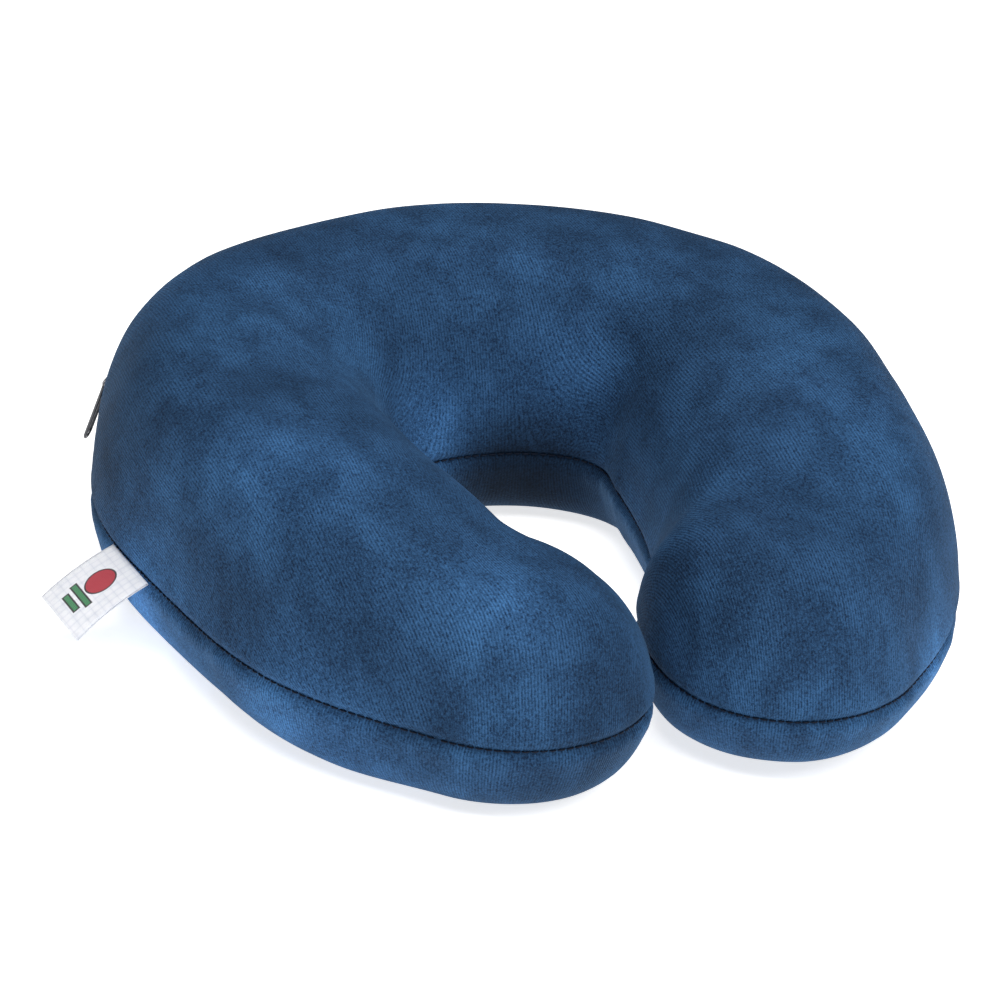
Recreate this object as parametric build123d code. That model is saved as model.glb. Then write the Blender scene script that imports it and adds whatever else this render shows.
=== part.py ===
"""U shaped neck pillow: a memory foam core in a liner and a zipped two-panel velour cover.

Frame: millimetres, +Z up, the pillow lies on z = 0. The open side of the U faces -Y, the back of
the neck is at +Y, and the YZ plane is the plane of symmetry. The origin is the middle of the neck
opening, on the surface that the pillow lies on.
"""
from build123d import *
import os
from math import cos, pi, radians, sin, sqrt

# ---- the cushion's outline and height ----
# One row per station from the middle of the back round to the end of an arm:
# angle about the station centre, distance of the middle line from it, half width, top height, and
# how far the crest leans to the outside as a share of the half width.
# Over the back the half width is None: it follows from the back arc.
STATIONS = [
    (0, 122, None, 97, 0.0),
    (22.5, 119.7, None, 95, 0.05),
    (45, 112, None, 93.2, 0.12),
    (67.5, 99.2, None, 92.2, 0.2),
    (90, 89.5, 50, 91.3, 0.23),
    (110, 90.8, 50, 90, 0.2),
    (128, 98.5, 49.5, 87, 0.14),
    (142, 107.5, 48.6, 80, 0.07),
    (153.4, 115, 48.4, 75.5, 0.0),
]
STATION_CENTRE_Y = -16
BACK_RADIUS = 143
BACK_CENTRE_Y = 23.3
TOP_POWERS = (3.0, 1.9)
BOTTOM_POWERS = (4.6, 1.95)
BOTTOM_DIP = 2

# ---- the seam between the two cover panels ----
SEAM_HEIGHT = 30
ZIP_HEIGHT = 47
SEAM_RISE_START_Y = 51
SEAM_RISE_END_Y = 93

# ---- layers, measured inwards from the outside of the cover ----
COVER_THICKNESS = 2
LINER_OUTSIDE = 2.3
LINER_INSIDE = 3.1
CORE_OUTSIDE = 3.3
THREAD_OUTSIDE = 0.7
THREAD_INSIDE = 1.3
THREAD_HALF_HEIGHT = 0.35

# ---- zip, in a slot round the back; angles are about the back arc, 0 at the middle of the back ----
SLOT_HALF_HEIGHT = 5
SLOT_END_ANGLE = 61
TAPE_INNER_RADIUS = 142.45
TAPE_THICKNESS = 0.5
ZIP_HALF_GAP = 0.6
COIL_OUTER_RADIUS = 145
COIL_HEIGHT = 2.2
COIL_END_ANGLE = 59
STOP_WIDTH_ANGLE = 0.9
STOP_OUTER_RADIUS = 145.3

# ---- slider ----
SLIDER_ANGLE = -57
SLIDER_LENGTH = 9
SLIDER_HEIGHT = 7.8
REAR_PLATE_INNER_RADIUS = 141.3
REAR_PLATE_THICKNESS = 0.8
FRONT_PLATE_INNER_RADIUS = 145.15
FRONT_PLATE_THICKNESS = 1
LIP_INNER_RADIUS = 143.35
LIP_HEIGHT = 0.7
DIVIDER_LENGTH = 2.5
DIVIDER_THICKNESS = 0.9
LUG_LENGTH = 3.6
LUG_HEIGHT = 2.6
LUG_DEPTH = 2.4
PIN_RADIUS_FROM_AXIS = 147.4

# ---- wire pull ----
WIRE_RADIUS = 0.6
WIRE_CLEARANCE = 0.06
PULL_WIDTH = 5.6
PULL_LENGTH = 24
PULL_CORNER_RADIUS = 1.2
PULL_TILT = 19

# ---- ribbon label, folded over and sewn into the seam on the left arm ----
LABEL_WIDTH = 32
LABEL_LENGTH = 29
LABEL_ROOT_DEPTH = 1.4
LABEL_DROOP = 28
LABEL_LAYER = 0.35
LABEL_GAP = 0.3
LABEL_SEAM_POINT = (-140.6, -12)
LABEL_HEADING = 187

BIG = 600


def seam_height(y):
    """Height of the seam, which rises from the arms to the zip at the back."""
    share = (y - SEAM_RISE_START_Y) / (SEAM_RISE_END_Y - SEAM_RISE_START_Y)
    share = min(max(share, 0), 1)
    return SEAM_HEIGHT + (ZIP_HEIGHT - SEAM_HEIGHT) * (1 - cos(pi * share)) / 2


def station_points():
    """Points of the middle line, from the left arm round the back to the right arm."""
    right = []
    for angle, reach, _, _, _ in STATIONS:
        turn = radians(angle)
        right.append(Vector(reach * sin(turn), STATION_CENTRE_Y + reach * cos(turn), 0))
    left = [Vector(-point.X, point.Y, 0) for point in right[:0:-1]]
    return left + right


def station_planes():
    """Upright section planes across the middle line: local x points outwards, local y points up."""
    points = station_points()
    line = Spline(*points)
    planes = []
    for point in points:
        along = line.tangent_at(line.param_at_point(point))
        outward = Vector(0, 0, 1).cross(along)
        planes.append(Plane(origin=point, x_dir=outward, z_dir=along))
    return planes


def half_width_to_back_arc(plane):
    """Distance from the middle line to the back arc along the section plane."""
    offset = plane.origin - Vector(0, BACK_CENTRE_Y, 0)
    along = offset.dot(plane.x_dir)
    return sqrt(along**2 - offset.dot(offset) + BACK_RADIUS**2) - along


def side_curve(side, half_width, inset, top, crest, widest):
    """Section curve from the crest of the top over one side to the middle of the underside."""
    edge = side * (half_width - inset)
    low = inset - BOTTOM_DIP
    turns = [radians(degrees) for degrees in (0, 15, 30, 45, 60, 75, 90)]
    points = []
    for turn in turns:
        rise = (1 - sin(turn) ** TOP_POWERS[0]) ** (1 / TOP_POWERS[1]) if turn < pi / 2 else 0
        points.append((crest + (edge - crest) * sin(turn), widest + (top - inset - widest) * rise))
    for turn in reversed(turns[:-1]):
        fall = (1 - sin(turn) ** BOTTOM_POWERS[0]) ** (1 / BOTTOM_POWERS[1])
        points.append((edge * sin(turn), widest - (widest - low) * fall))
    return Spline(*points, tangents=((side, 0), (-side, 0)))


def section_curves(plane, row, inset):
    """The outer and the inner half of one section of the cushion, in the section's own plane."""
    _, _, half_width, top, lean = row
    if half_width is None:
        half_width = half_width_to_back_arc(plane)
    crest = lean * half_width
    outer_y = (plane.origin + plane.x_dir * half_width).Y
    outer = side_curve(1, half_width, inset, top, crest, seam_height(outer_y))
    inner = side_curve(-1, half_width, inset, top, crest, SEAM_HEIGHT)
    return outer, inner


def cushion(inset):
    """The whole cushion, its surface moved inwards by the inset, flat where it lies."""
    planes = station_planes()
    rows = STATIONS[:0:-1] + STATIONS
    wires = []
    for plane, row in zip(planes, rows):
        outer, inner = section_curves(plane, row, inset)
        wires.append(plane.location * Wire([outer, inner]))
    body = Solid.make_loft(wires)
    outer, _ = section_curves(planes[-1], rows[-1], inset)
    axis_line = Line(outer @ 1, outer @ 0)
    half_section = planes[-1].location * make_face([outer, axis_line])
    tip_axis = Axis(planes[-1].origin, (0, 0, -1))
    tip = revolve(half_section, tip_axis, 180)
    whole = body + tip + mirror(tip, Plane.YZ)
    above_rest = Pos(0, 0, inset) * Box(BIG, BIG, BIG, align=(Align.CENTER, Align.CENTER, Align.MIN))
    return whole & above_rest


def below_seam(offset):
    """Everything below the seam surface, moved up by the offset."""
    steps = 8
    run = SEAM_RISE_END_Y - SEAM_RISE_START_Y
    rise_points = []
    for step in range(steps + 1):
        y = SEAM_RISE_START_Y + run * step / steps
        rise_points.append((y, seam_height(y)))
    rise = Spline(*rise_points, tangents=((1, 0), (1, 0)))
    front = Line((-BIG / 2, SEAM_HEIGHT), rise_points[0])
    back = Line(rise_points[-1], (BIG / 2, ZIP_HEIGHT))
    far = BIG / 2
    under = Polyline((far, ZIP_HEIGHT), (far, -far), (-far, -far), (-far, SEAM_HEIGHT))
    profile = make_face([front, rise, back, under])
    return Pos(0, 0, offset) * extrude(Plane.YZ.location * profile, far, both=True)


def back_band(inner_radius, outer_radius, low, high, start, end):
    """Band about the back arc's axis between two angles, which grow clockwise from the back."""
    middle = Pos((inner_radius + outer_radius) / 2, (low + high) / 2)
    profile = Plane.YZ * middle * Rectangle(outer_radius - inner_radius, high - low)
    band = revolve(profile, Axis((0, 0, 0), (0, 0, -1)), end - start)
    return Pos(0, BACK_CENTRE_Y, 0) * Rot(0, 0, -start) * band


def on_slider(shape):
    """Place a shape made with x along the zip, y outwards and z from the zip's middle line."""
    return Pos(0, BACK_CENTRE_Y, ZIP_HEIGHT) * Rot(0, 0, -SLIDER_ANGLE) * shape


def block(length, inner_radius, outer_radius, low, high, start=None):
    """Box on the slider, centred along the zip unless its start is given."""
    first = -length / 2 if start is None else start
    corner = Pos(first, inner_radius, low)
    size = Box(length, outer_radius - inner_radius, high - low, align=(Align.MIN, Align.MIN, Align.MIN))
    return corner * size


def make_zip_slot():
    low = ZIP_HEIGHT - SLOT_HALF_HEIGHT
    high = ZIP_HEIGHT + SLOT_HALF_HEIGHT
    inner = BACK_RADIUS - 2 * COVER_THICKNESS
    outer = BACK_RADIUS + 2 * COVER_THICKNESS
    return back_band(inner, outer, low, high, -SLOT_END_ANGLE, SLOT_END_ANGLE)


def make_tape(side):
    """One woven tape, from the edge of the cover panel to the middle gap."""
    outer = TAPE_INNER_RADIUS + TAPE_THICKNESS
    heights = sorted((ZIP_HEIGHT + side * ZIP_HALF_GAP, ZIP_HEIGHT + side * SLOT_HALF_HEIGHT))
    return back_band(TAPE_INNER_RADIUS, outer, *heights, -SLOT_END_ANGLE, SLOT_END_ANGLE)


def coil_heights(side):
    """Lowest and highest z of the coil above the zip's middle line, or of the one below it."""
    near = ZIP_HEIGHT + side * ZIP_HALF_GAP
    far = near + side * COIL_HEIGHT
    return sorted((near, far))


def make_coil(side):
    """One coil of teeth, as its plain envelope on the face of its tape."""
    inner = TAPE_INNER_RADIUS + TAPE_THICKNESS
    coil = back_band(inner, COIL_OUTER_RADIUS, *coil_heights(side), -COIL_END_ANGLE, COIL_END_ANGLE)
    arcs = coil.edges().filter_by(GeomType.CIRCLE)
    outer_arcs = arcs.sort_by(lambda edge: edge.radius)[-2:]
    return fillet(outer_arcs, COIL_HEIGHT * 0.3)


def make_top_stops():
    """The two metal stops beyond the coils at the closed end."""
    inner = TAPE_INNER_RADIUS + TAPE_THICKNESS
    stops = []
    for side in (1, -1):
        start = -COIL_END_ANGLE - STOP_WIDTH_ANGLE
        stop = back_band(inner, STOP_OUTER_RADIUS, *coil_heights(side), start, -COIL_END_ANGLE)
        stops.append(stop)
    return Compound(children=stops)


def make_bottom_stop():
    """The metal stop across both coils at the open end."""
    inner = TAPE_INNER_RADIUS + TAPE_THICKNESS
    half = ZIP_HALF_GAP + COIL_HEIGHT
    end = COIL_END_ANGLE + STOP_WIDTH_ANGLE
    return back_band(inner, STOP_OUTER_RADIUS, ZIP_HEIGHT - half, ZIP_HEIGHT + half, COIL_END_ANGLE, end)


def make_slider():
    """Two plates round the coils, joined by the divider, with the lug that carries the pull."""
    half = SLIDER_HEIGHT / 2
    rear_outer = REAR_PLATE_INNER_RADIUS + REAR_PLATE_THICKNESS
    front_outer = FRONT_PLATE_INNER_RADIUS + FRONT_PLATE_THICKNESS
    rear = block(SLIDER_LENGTH, REAR_PLATE_INNER_RADIUS, rear_outer, -half, half)
    front = block(SLIDER_LENGTH, FRONT_PLATE_INNER_RADIUS, front_outer, -half, half)
    front = fillet(front.edges().filter_by(Axis.Y), 1.5)
    rear = fillet(rear.edges().filter_by(Axis.Y), 1.5)
    lip_length = SLIDER_LENGTH - 3.2
    upper_lip = block(lip_length, LIP_INNER_RADIUS, FRONT_PLATE_INNER_RADIUS, half - LIP_HEIGHT, half)
    lower_lip = block(lip_length, LIP_INNER_RADIUS, FRONT_PLATE_INNER_RADIUS, -half, LIP_HEIGHT - half)
    thin = DIVIDER_THICKNESS / 2
    divider_start = 0.4 - SLIDER_LENGTH / 2
    divider = block(DIVIDER_LENGTH, rear_outer, FRONT_PLATE_INNER_RADIUS, -thin, thin, divider_start)
    lug = block(LUG_LENGTH, front_outer, front_outer + LUG_DEPTH, -LUG_HEIGHT / 2, LUG_HEIGHT / 2)
    lug = fillet(lug.edges().filter_by(Axis.X).sort_by(Axis.Y)[-2:], 1)
    hole = Cylinder(WIRE_RADIUS + WIRE_CLEARANCE, 2 * LUG_LENGTH)
    hole = Pos(0, PIN_RADIUS_FROM_AXIS, 0) * Rot(0, 90, 0) * hole
    return on_slider(rear + front + upper_lip + lower_lip + divider + lug - hole)


def make_pull():
    """Closed wire loop whose straight top runs through the slider's lug."""
    half = PULL_WIDTH / 2
    round_start = half - PULL_LENGTH
    corners = ((-half, round_start), (-half, 0), (half, 0), (half, round_start))
    top = FilletPolyline(*corners, radius=PULL_CORNER_RADIUS)
    end = ThreePointArc(corners[-1], (0, -PULL_LENGTH), corners[0])
    path = Plane.XZ.location * Wire([*top.edges(), end])
    start = path @ 0
    section = Plane(origin=start, z_dir=path % 0) * Circle(WIRE_RADIUS)
    wire = sweep(section, path=path)
    return on_slider(Pos(0, PIN_RADIUS_FROM_AXIS, 0) * Rot(PULL_TILT, 0, 0) * wire)


def make_label():
    """Ribbon folded once at its outer end, its two ends side by side in the seam."""
    half = (2 * LABEL_LAYER + LABEL_GAP) / 2
    gap_half = LABEL_GAP / 2
    straight = LABEL_LENGTH - half
    outside = Pos(straight / 2 - LABEL_ROOT_DEPTH / 2, 0) * Rectangle(straight + LABEL_ROOT_DEPTH, 2 * half)
    outside = outside + Pos(straight, 0) * Circle(half)
    gap = Pos(straight / 2, 0) * Rectangle(straight, 2 * gap_half) + Pos(straight, 0) * Circle(gap_half)
    profile = outside - gap
    ribbon = extrude(Plane.XZ * profile, LABEL_WIDTH / 2, both=True)
    place = Pos(*LABEL_SEAM_POINT, SEAM_HEIGHT) * Rot(0, 0, LABEL_HEADING) * Rot(0, LABEL_DROOP, 0)
    return place * ribbon


def one_piece(shape):
    """The largest solid, without the slivers that the cut round the label leaves."""
    return shape.solids().sort_by(SortBy.VOLUME)[-1]


def build_parts():
    """Every sub-part by its node name."""
    outside = cushion(0)
    zip_slot = make_zip_slot()
    label = make_label()
    thread_band = below_seam(THREAD_HALF_HEIGHT) - below_seam(-THREAD_HALF_HEIGHT)
    thread = (cushion(THREAD_OUTSIDE) - cushion(THREAD_INSIDE)) & thread_band
    thread = thread - zip_slot - label
    cover = outside - cushion(COVER_THICKNESS) - zip_slot - label - thread
    lower_half = below_seam(0)
    return {
        "cover_top_panel": one_piece(cover - lower_half),
        "cover_bottom_panel": one_piece(cover & lower_half),
        "seam_thread": thread,
        "zip_tape_upper": make_tape(1),
        "zip_tape_lower": make_tape(-1),
        "zip_coil_upper": make_coil(1),
        "zip_coil_lower": make_coil(-1),
        "zip_top_stops": make_top_stops(),
        "zip_bottom_stop": make_bottom_stop(),
        "zip_slider": make_slider(),
        "zip_pull": make_pull(),
        "ribbon_label": label,
        "inner_liner": cushion(LINER_OUTSIDE) - cushion(LINER_INSIDE),
        "foam_core": cushion(CORE_OUTSIDE),
    }


def main():
    os.makedirs("parts", exist_ok=True)
    for name, shape in build_parts().items():
        export_step(shape, f"parts/{name}.step")


main()
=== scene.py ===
"""Looks of the U shaped neck pillow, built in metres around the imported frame."""
import math
import bmesh
import bpy
import numpy as np
from mathutils import Matrix, Vector, noise


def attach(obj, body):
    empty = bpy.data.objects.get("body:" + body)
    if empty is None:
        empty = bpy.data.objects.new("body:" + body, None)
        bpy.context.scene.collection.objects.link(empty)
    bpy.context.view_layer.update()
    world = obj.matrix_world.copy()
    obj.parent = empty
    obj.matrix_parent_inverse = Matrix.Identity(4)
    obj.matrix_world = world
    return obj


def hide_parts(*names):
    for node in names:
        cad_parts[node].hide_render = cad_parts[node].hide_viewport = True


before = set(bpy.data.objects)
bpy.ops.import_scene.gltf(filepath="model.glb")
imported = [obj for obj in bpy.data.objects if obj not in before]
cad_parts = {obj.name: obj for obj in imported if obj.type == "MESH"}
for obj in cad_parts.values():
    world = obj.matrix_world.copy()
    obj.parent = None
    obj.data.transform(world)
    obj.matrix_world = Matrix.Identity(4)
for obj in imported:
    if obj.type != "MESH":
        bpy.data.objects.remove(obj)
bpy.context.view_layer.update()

MM = 0.001

# how close points are when they are joined, in metres
PANEL_WELD = 0.00004
BODY_WELD = 0.0002
STRIP_WELD = 1e-7

# ---------------------------------------------------------------- driving dimensions, mm
# angle about the station centre, distance of the middle line, half width, top height, crest lean
STATIONS = [
    (0, 122, None, 97, 0.0),
    (22.5, 119.7, None, 95, 0.05),
    (45, 112, None, 93.2, 0.12),
    (67.5, 99.2, None, 92.2, 0.2),
    (90, 89.5, 50, 91.3, 0.23),
    (110, 90.8, 50, 90, 0.2),
    (128, 98.5, 49.5, 87, 0.14),
    (142, 107.5, 48.6, 80, 0.07),
    (153.4, 115, 48.4, 75.5, 0.0),
]
STATION_CENTRE_Y = -16
BACK_RADIUS = 143
BACK_CENTRE_Y = 23.3
TOP_POWERS = (3.0, 1.9)
BOTTOM_POWERS = (4.6, 1.95)
BOTTOM_DIP = 2
SEAM_HEIGHT = 30
ZIP_HEIGHT = 47
SEAM_RISE = (51, 93)

# how finely the cover is cut up: columns round each tip and along each side, rows by distance
# from the seam and then evenly to the crest, steps along a profile, and a step along the line
TIP_COLUMNS = 70
LINE_COLUMNS = 480
FINE_ROWS = (0, 0.35, 0.8, 1.4, 2.1, 3, 4, 5.2, 6.6, 8.2, 10, 12.2)
EVEN_ROWS = 34
INNER_TIP_COLUMNS = 24
INNER_LINE_COLUMNS = 150
INNER_FINE_ROWS = (0, 2, 5, 9)
INNER_EVEN_ROWS = 12
PROFILE_STEPS = 160
LINE_STEP = 0.01

# the zip: the half angles of its coils and its slot about the back arc's centre
ZIP_END_ANGLE = 59
SLOT_END_ANGLE = 60
SLOT_HALF = 3.5
SLOT_EASE_ANGLE = 4.0
COIL_PITCH = 1.35
COIL_WIRE = 0.36
COIL_MIDDLE = 1.45
COIL_RADIUS = 143.95
COIL_HALF_HEIGHT = 1.05
COIL_HALF_DEPTH = 0.62
COIL_STEPS_PER_TURN = 10
TAPE_RADIUS = 142.55
TAPE_HEIGHTS = (0.45, 5.8)
TAPE_REAR_SHARE = 0.9968
TAPE_END_ANGLE = SLOT_END_ANGLE + 1
TAPE_STATIONS = 260
TAPE_LEVELS = 9
TAPE_WAVE = 0.06

# relief of the cloth: the groove and lip of the seam, puckers beside it, and soft swells
GROOVE_DEPTH = 1.7
GROOVE_WIDTH = 1.9
SLOT_RIM = 0.3
LIP_HEIGHT = 0.45
LIP_PLACE = 5
LIP_WIDTH = 3.2
PUCKER_SIZES = (3.6, 13.0)
PUCKER_SHARES = (0.55, 0.8)
PUCKER_PATCH = 60.0
PUCKER_START = 1.6
PUCKERS = {True: (0.6, 6.0), False: (1.25, 9.0)}  # height and reach, upper panel and lower
SEAM_WAVE = (6.0, 0.25)
SWELL_SIZES = (55.0, 24.0)
SWELL_HEIGHTS = (1.1, 0.35)
SWELL_START = 14
RESTING_HEIGHT = 3.0
SEAM_HOLD = 2.5
TURNED_EDGE_DEPTHS = (2.6, 1.3)
FLOOR_CLEARANCE = 0.02
BAND_FOOT = 1.5
WALE_JUMP = 200
LAST_COLUMN_WIDTH = 1.6
LOWER_CLOTH_SHIFT = 500.0
LINER_INSET = 4.0
FOAM_INSET = 5.5
STITCH_PITCH = 3.0
STITCH_DEPTH = 1.15
STITCH_SINK = 0.5
STITCH_STOP = 0.05
THREAD_RADIUS = 0.27

LABEL_WIDTH = 32
LABEL_LENGTH = 29
LABEL_THICKNESS = 0.2
LABEL_HALF_GAP = 0.28
LABEL_SEWN_IN = 1.2
LABEL_FOLD = 0.6
LABEL_COLUMNS = 24
PRINT_GRID = 3.1
LABEL_POINT = (-144.4, -12.2)
LABEL_HEADING = 187
LABEL_DROOP = 28
LABEL_CURL = 0.16
LABEL_SAG = 1.1
LABEL_TWIST = 0.5
LABEL_SPREAD = 0.03
PRINT_EDGE = 0.25
PRINT_OUTLINE = 0.6
PRINT_OUTLINE_COLOUR = (0.02, 0.015, 0.02, 1)
PRINT_RED = (0.45, 0.03, 0.05, 1)
PRINT_GREEN = (0.05, 0.24, 0.1, 1)

# how the soft arms settle on the table: moves of each arm in x and y, moves of each tip in x,
# in x near the floor and in y near the floor, and the rise of each tip at the seam and at the floor
LEFT_ARM = (-2.5, -3.4)
LEFT_TIP = (8.0, -1.5, 3.5)
LEFT_TIP_LIFT = (-1.6, 0.4)
RIGHT_ARM = (-2.0, 1.0)
RIGHT_TIP = -4.2
RIGHT_TIP_LIFT = (-5.5, 3.8)

# the inner walls lean to one side: y in the middle, half length, size of the sideways move
LEFT_INNER = (-113, 41, -4.0)
RIGHT_INNER = (-42, 74, -4.6)

# gentle swellings: angle from the back about the station centre, half angle, size
OUTER_SWELLS = [(-82, 32, 3.4), (-112, 28, 0.6), (-142, 34, -1.9), (103, 22, -1.3), (136, 25, 2.4)]
TOP_SWELLS = [(-8, 28, -1.3), (-48, 30, 0.5), (25, 35, 1.9), (62, 45, 1.2)]

# painted light and shade: patches that brighten the cloth where light falls and darken it where
# shade lies: x, y, z, radius, gain in brightness
PAINTED_LIGHT_PATCHES = [
    (-139, 29, 61, 60, 0.5),
    (-100, -63, 89, 50, 1.6),
    (-60, -140, 71, 32, 1.6),
    (-113, -117, 14, 50, 2.1),
    (-138, -20, 14, 60, 3.4),
    (-130, -78, 14, 45, 1.5),
    (30, 41, 60, 35, 1.6),
    (-20, 45, 45, 35, 2.3),
    # painted shade: the low inner wall at the back, under the seam
    (15, 42, 10, 46, 0.13),
    (42, 0, 15, 35, 0.75),
    (22, -142, 62, 35, 0.8),
    (89, 18, 92, 55, 0.8),
    (100, -135, 20, 40, 3.2),
    (-30, -165, 20, 40, 0.78),
    (-38, -20, 40, 35, 1.4),
]

WALE_PITCH = 1.05
NAVY = (0.0135, 0.0415, 0.098, 1)
NAVY_DARK = (0.0096, 0.0305, 0.073, 1)
NAVY_LIGHT = (0.0185, 0.0575, 0.134, 1)


# ---------------------------------------------------------------- shape of the cushion
def smooth(share):
    share = np.clip(share, 0, 1)
    return share * share * (3 - 2 * share)


def swelling(angle, swells):
    """Sum of the swellings at an angle in radians."""
    total = 0
    for centre, half, size in swells:
        share = np.clip((np.degrees(angle) - centre) / half, -1, 1)
        total = total + size * (1 + np.cos(np.pi * share)) / 2
    return total


def inner_lean(x, y, lean):
    """Sideways move of the inner half of an arm, none at the front gap or on the outer half."""
    middle, half, size = lean
    along = smooth((half - np.abs(y - middle)) / 30)
    return size * along * np.clip((np.abs(x) - 3) / 12, 0, 1) * (1 - smooth((np.abs(x) - 35) / 50))


def settle(points):
    """The points moved to where the soft arms lie, not quite mirror images of each other."""
    points = np.array(points, float)
    x, y, z = points[..., 0], points[..., 1], points[..., 2]
    arm = smooth((-y - 30) / 110)
    tip = smooth((-y - 95) / 60)
    low = np.clip(1 - z / 65, 0, 1)
    at_seam = np.where(z < SEAM_HEIGHT, z / SEAM_HEIGHT, np.clip((85 - z) / 55, 0, 1))
    near_floor = np.clip(1 - z / 45, 0, 1)
    left = x < 0
    outer_share = np.clip((x - 3) / 70, 0, 1)
    left_x = LEFT_ARM[0] * arm + (LEFT_TIP[0] + LEFT_TIP[1] * low) * tip
    right_x = (RIGHT_ARM[0] * arm + RIGHT_TIP * tip) * outer_share
    left_x = left_x + inner_lean(x, y, LEFT_INNER)
    right_x = right_x + inner_lean(x, y, RIGHT_INNER)
    left_y = LEFT_ARM[1] * arm + LEFT_TIP[2] * low * tip
    lift = np.where(left, LEFT_TIP_LIFT[0], RIGHT_TIP_LIFT[0]) * at_seam
    lift = lift + np.where(left, LEFT_TIP_LIFT[1], RIGHT_TIP_LIFT[1]) * near_floor
    angle = np.arctan2(x, y - STATION_CENTRE_Y)
    outer = smooth((np.hypot(x, y - STATION_CENTRE_Y) - 95) / 40) * swelling(angle, OUTER_SWELLS)
    moved = points.copy()
    moved[..., 0] += np.where(left, left_x, right_x) + outer * np.sin(angle)
    moved[..., 1] += np.where(left, left_y, RIGHT_ARM[1] * arm) + outer * np.cos(angle)
    moved[..., 2] += lift * tip + smooth((z - 50) / 42) * swelling(angle, TOP_SWELLS)
    return moved


def painted_light_gain(points):
    """Gain of the painted light and shade at each point, 1 outside the patches."""
    gain = np.zeros(points.shape[:-1])
    for x, y, z, radius, brightness in PAINTED_LIGHT_PATCHES:
        distance = np.linalg.norm(points - np.array([x, y, z]), axis=-1)
        gain += math.log(brightness) * (1 - smooth(distance / radius))
    return np.exp(gain)


def natural_spline(knots, values):
    """Natural cubic spline through the values, as a function of an array."""
    knots = np.asarray(knots, float)
    values = np.asarray(values, float)
    step = np.diff(knots)
    count = len(knots)
    matrix = np.eye(count)
    right = np.zeros(count)
    for i in range(1, count - 1):
        matrix[i, i - 1 : i + 2] = step[i - 1], 2 * (step[i - 1] + step[i]), step[i]
        rise = (values[i + 1] - values[i]) / step[i]
        right[i] = 6 * (rise - (values[i] - values[i - 1]) / step[i - 1])
    bend = np.linalg.solve(matrix, right)

    def evaluate(at):
        at = np.asarray(at, float)
        i = np.clip(np.searchsorted(knots, at) - 1, 0, count - 2)
        a = knots[i + 1] - at
        b = at - knots[i]
        h = step[i]
        cubic = (bend[i] * a**3 + bend[i + 1] * b**3) / (6 * h)
        start = values[i] / h - bend[i] * h / 6
        end = values[i + 1] / h - bend[i + 1] * h / 6
        return cubic + start * a + end * b

    return evaluate


def seam_height(y):
    """Height of the seam, which climbs from the arms to the zip at the back."""
    share = np.clip((y - SEAM_RISE[0]) / (SEAM_RISE[1] - SEAM_RISE[0]), 0, 1)
    return SEAM_HEIGHT + (ZIP_HEIGHT - SEAM_HEIGHT) * (1 - np.cos(np.pi * share)) / 2


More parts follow.
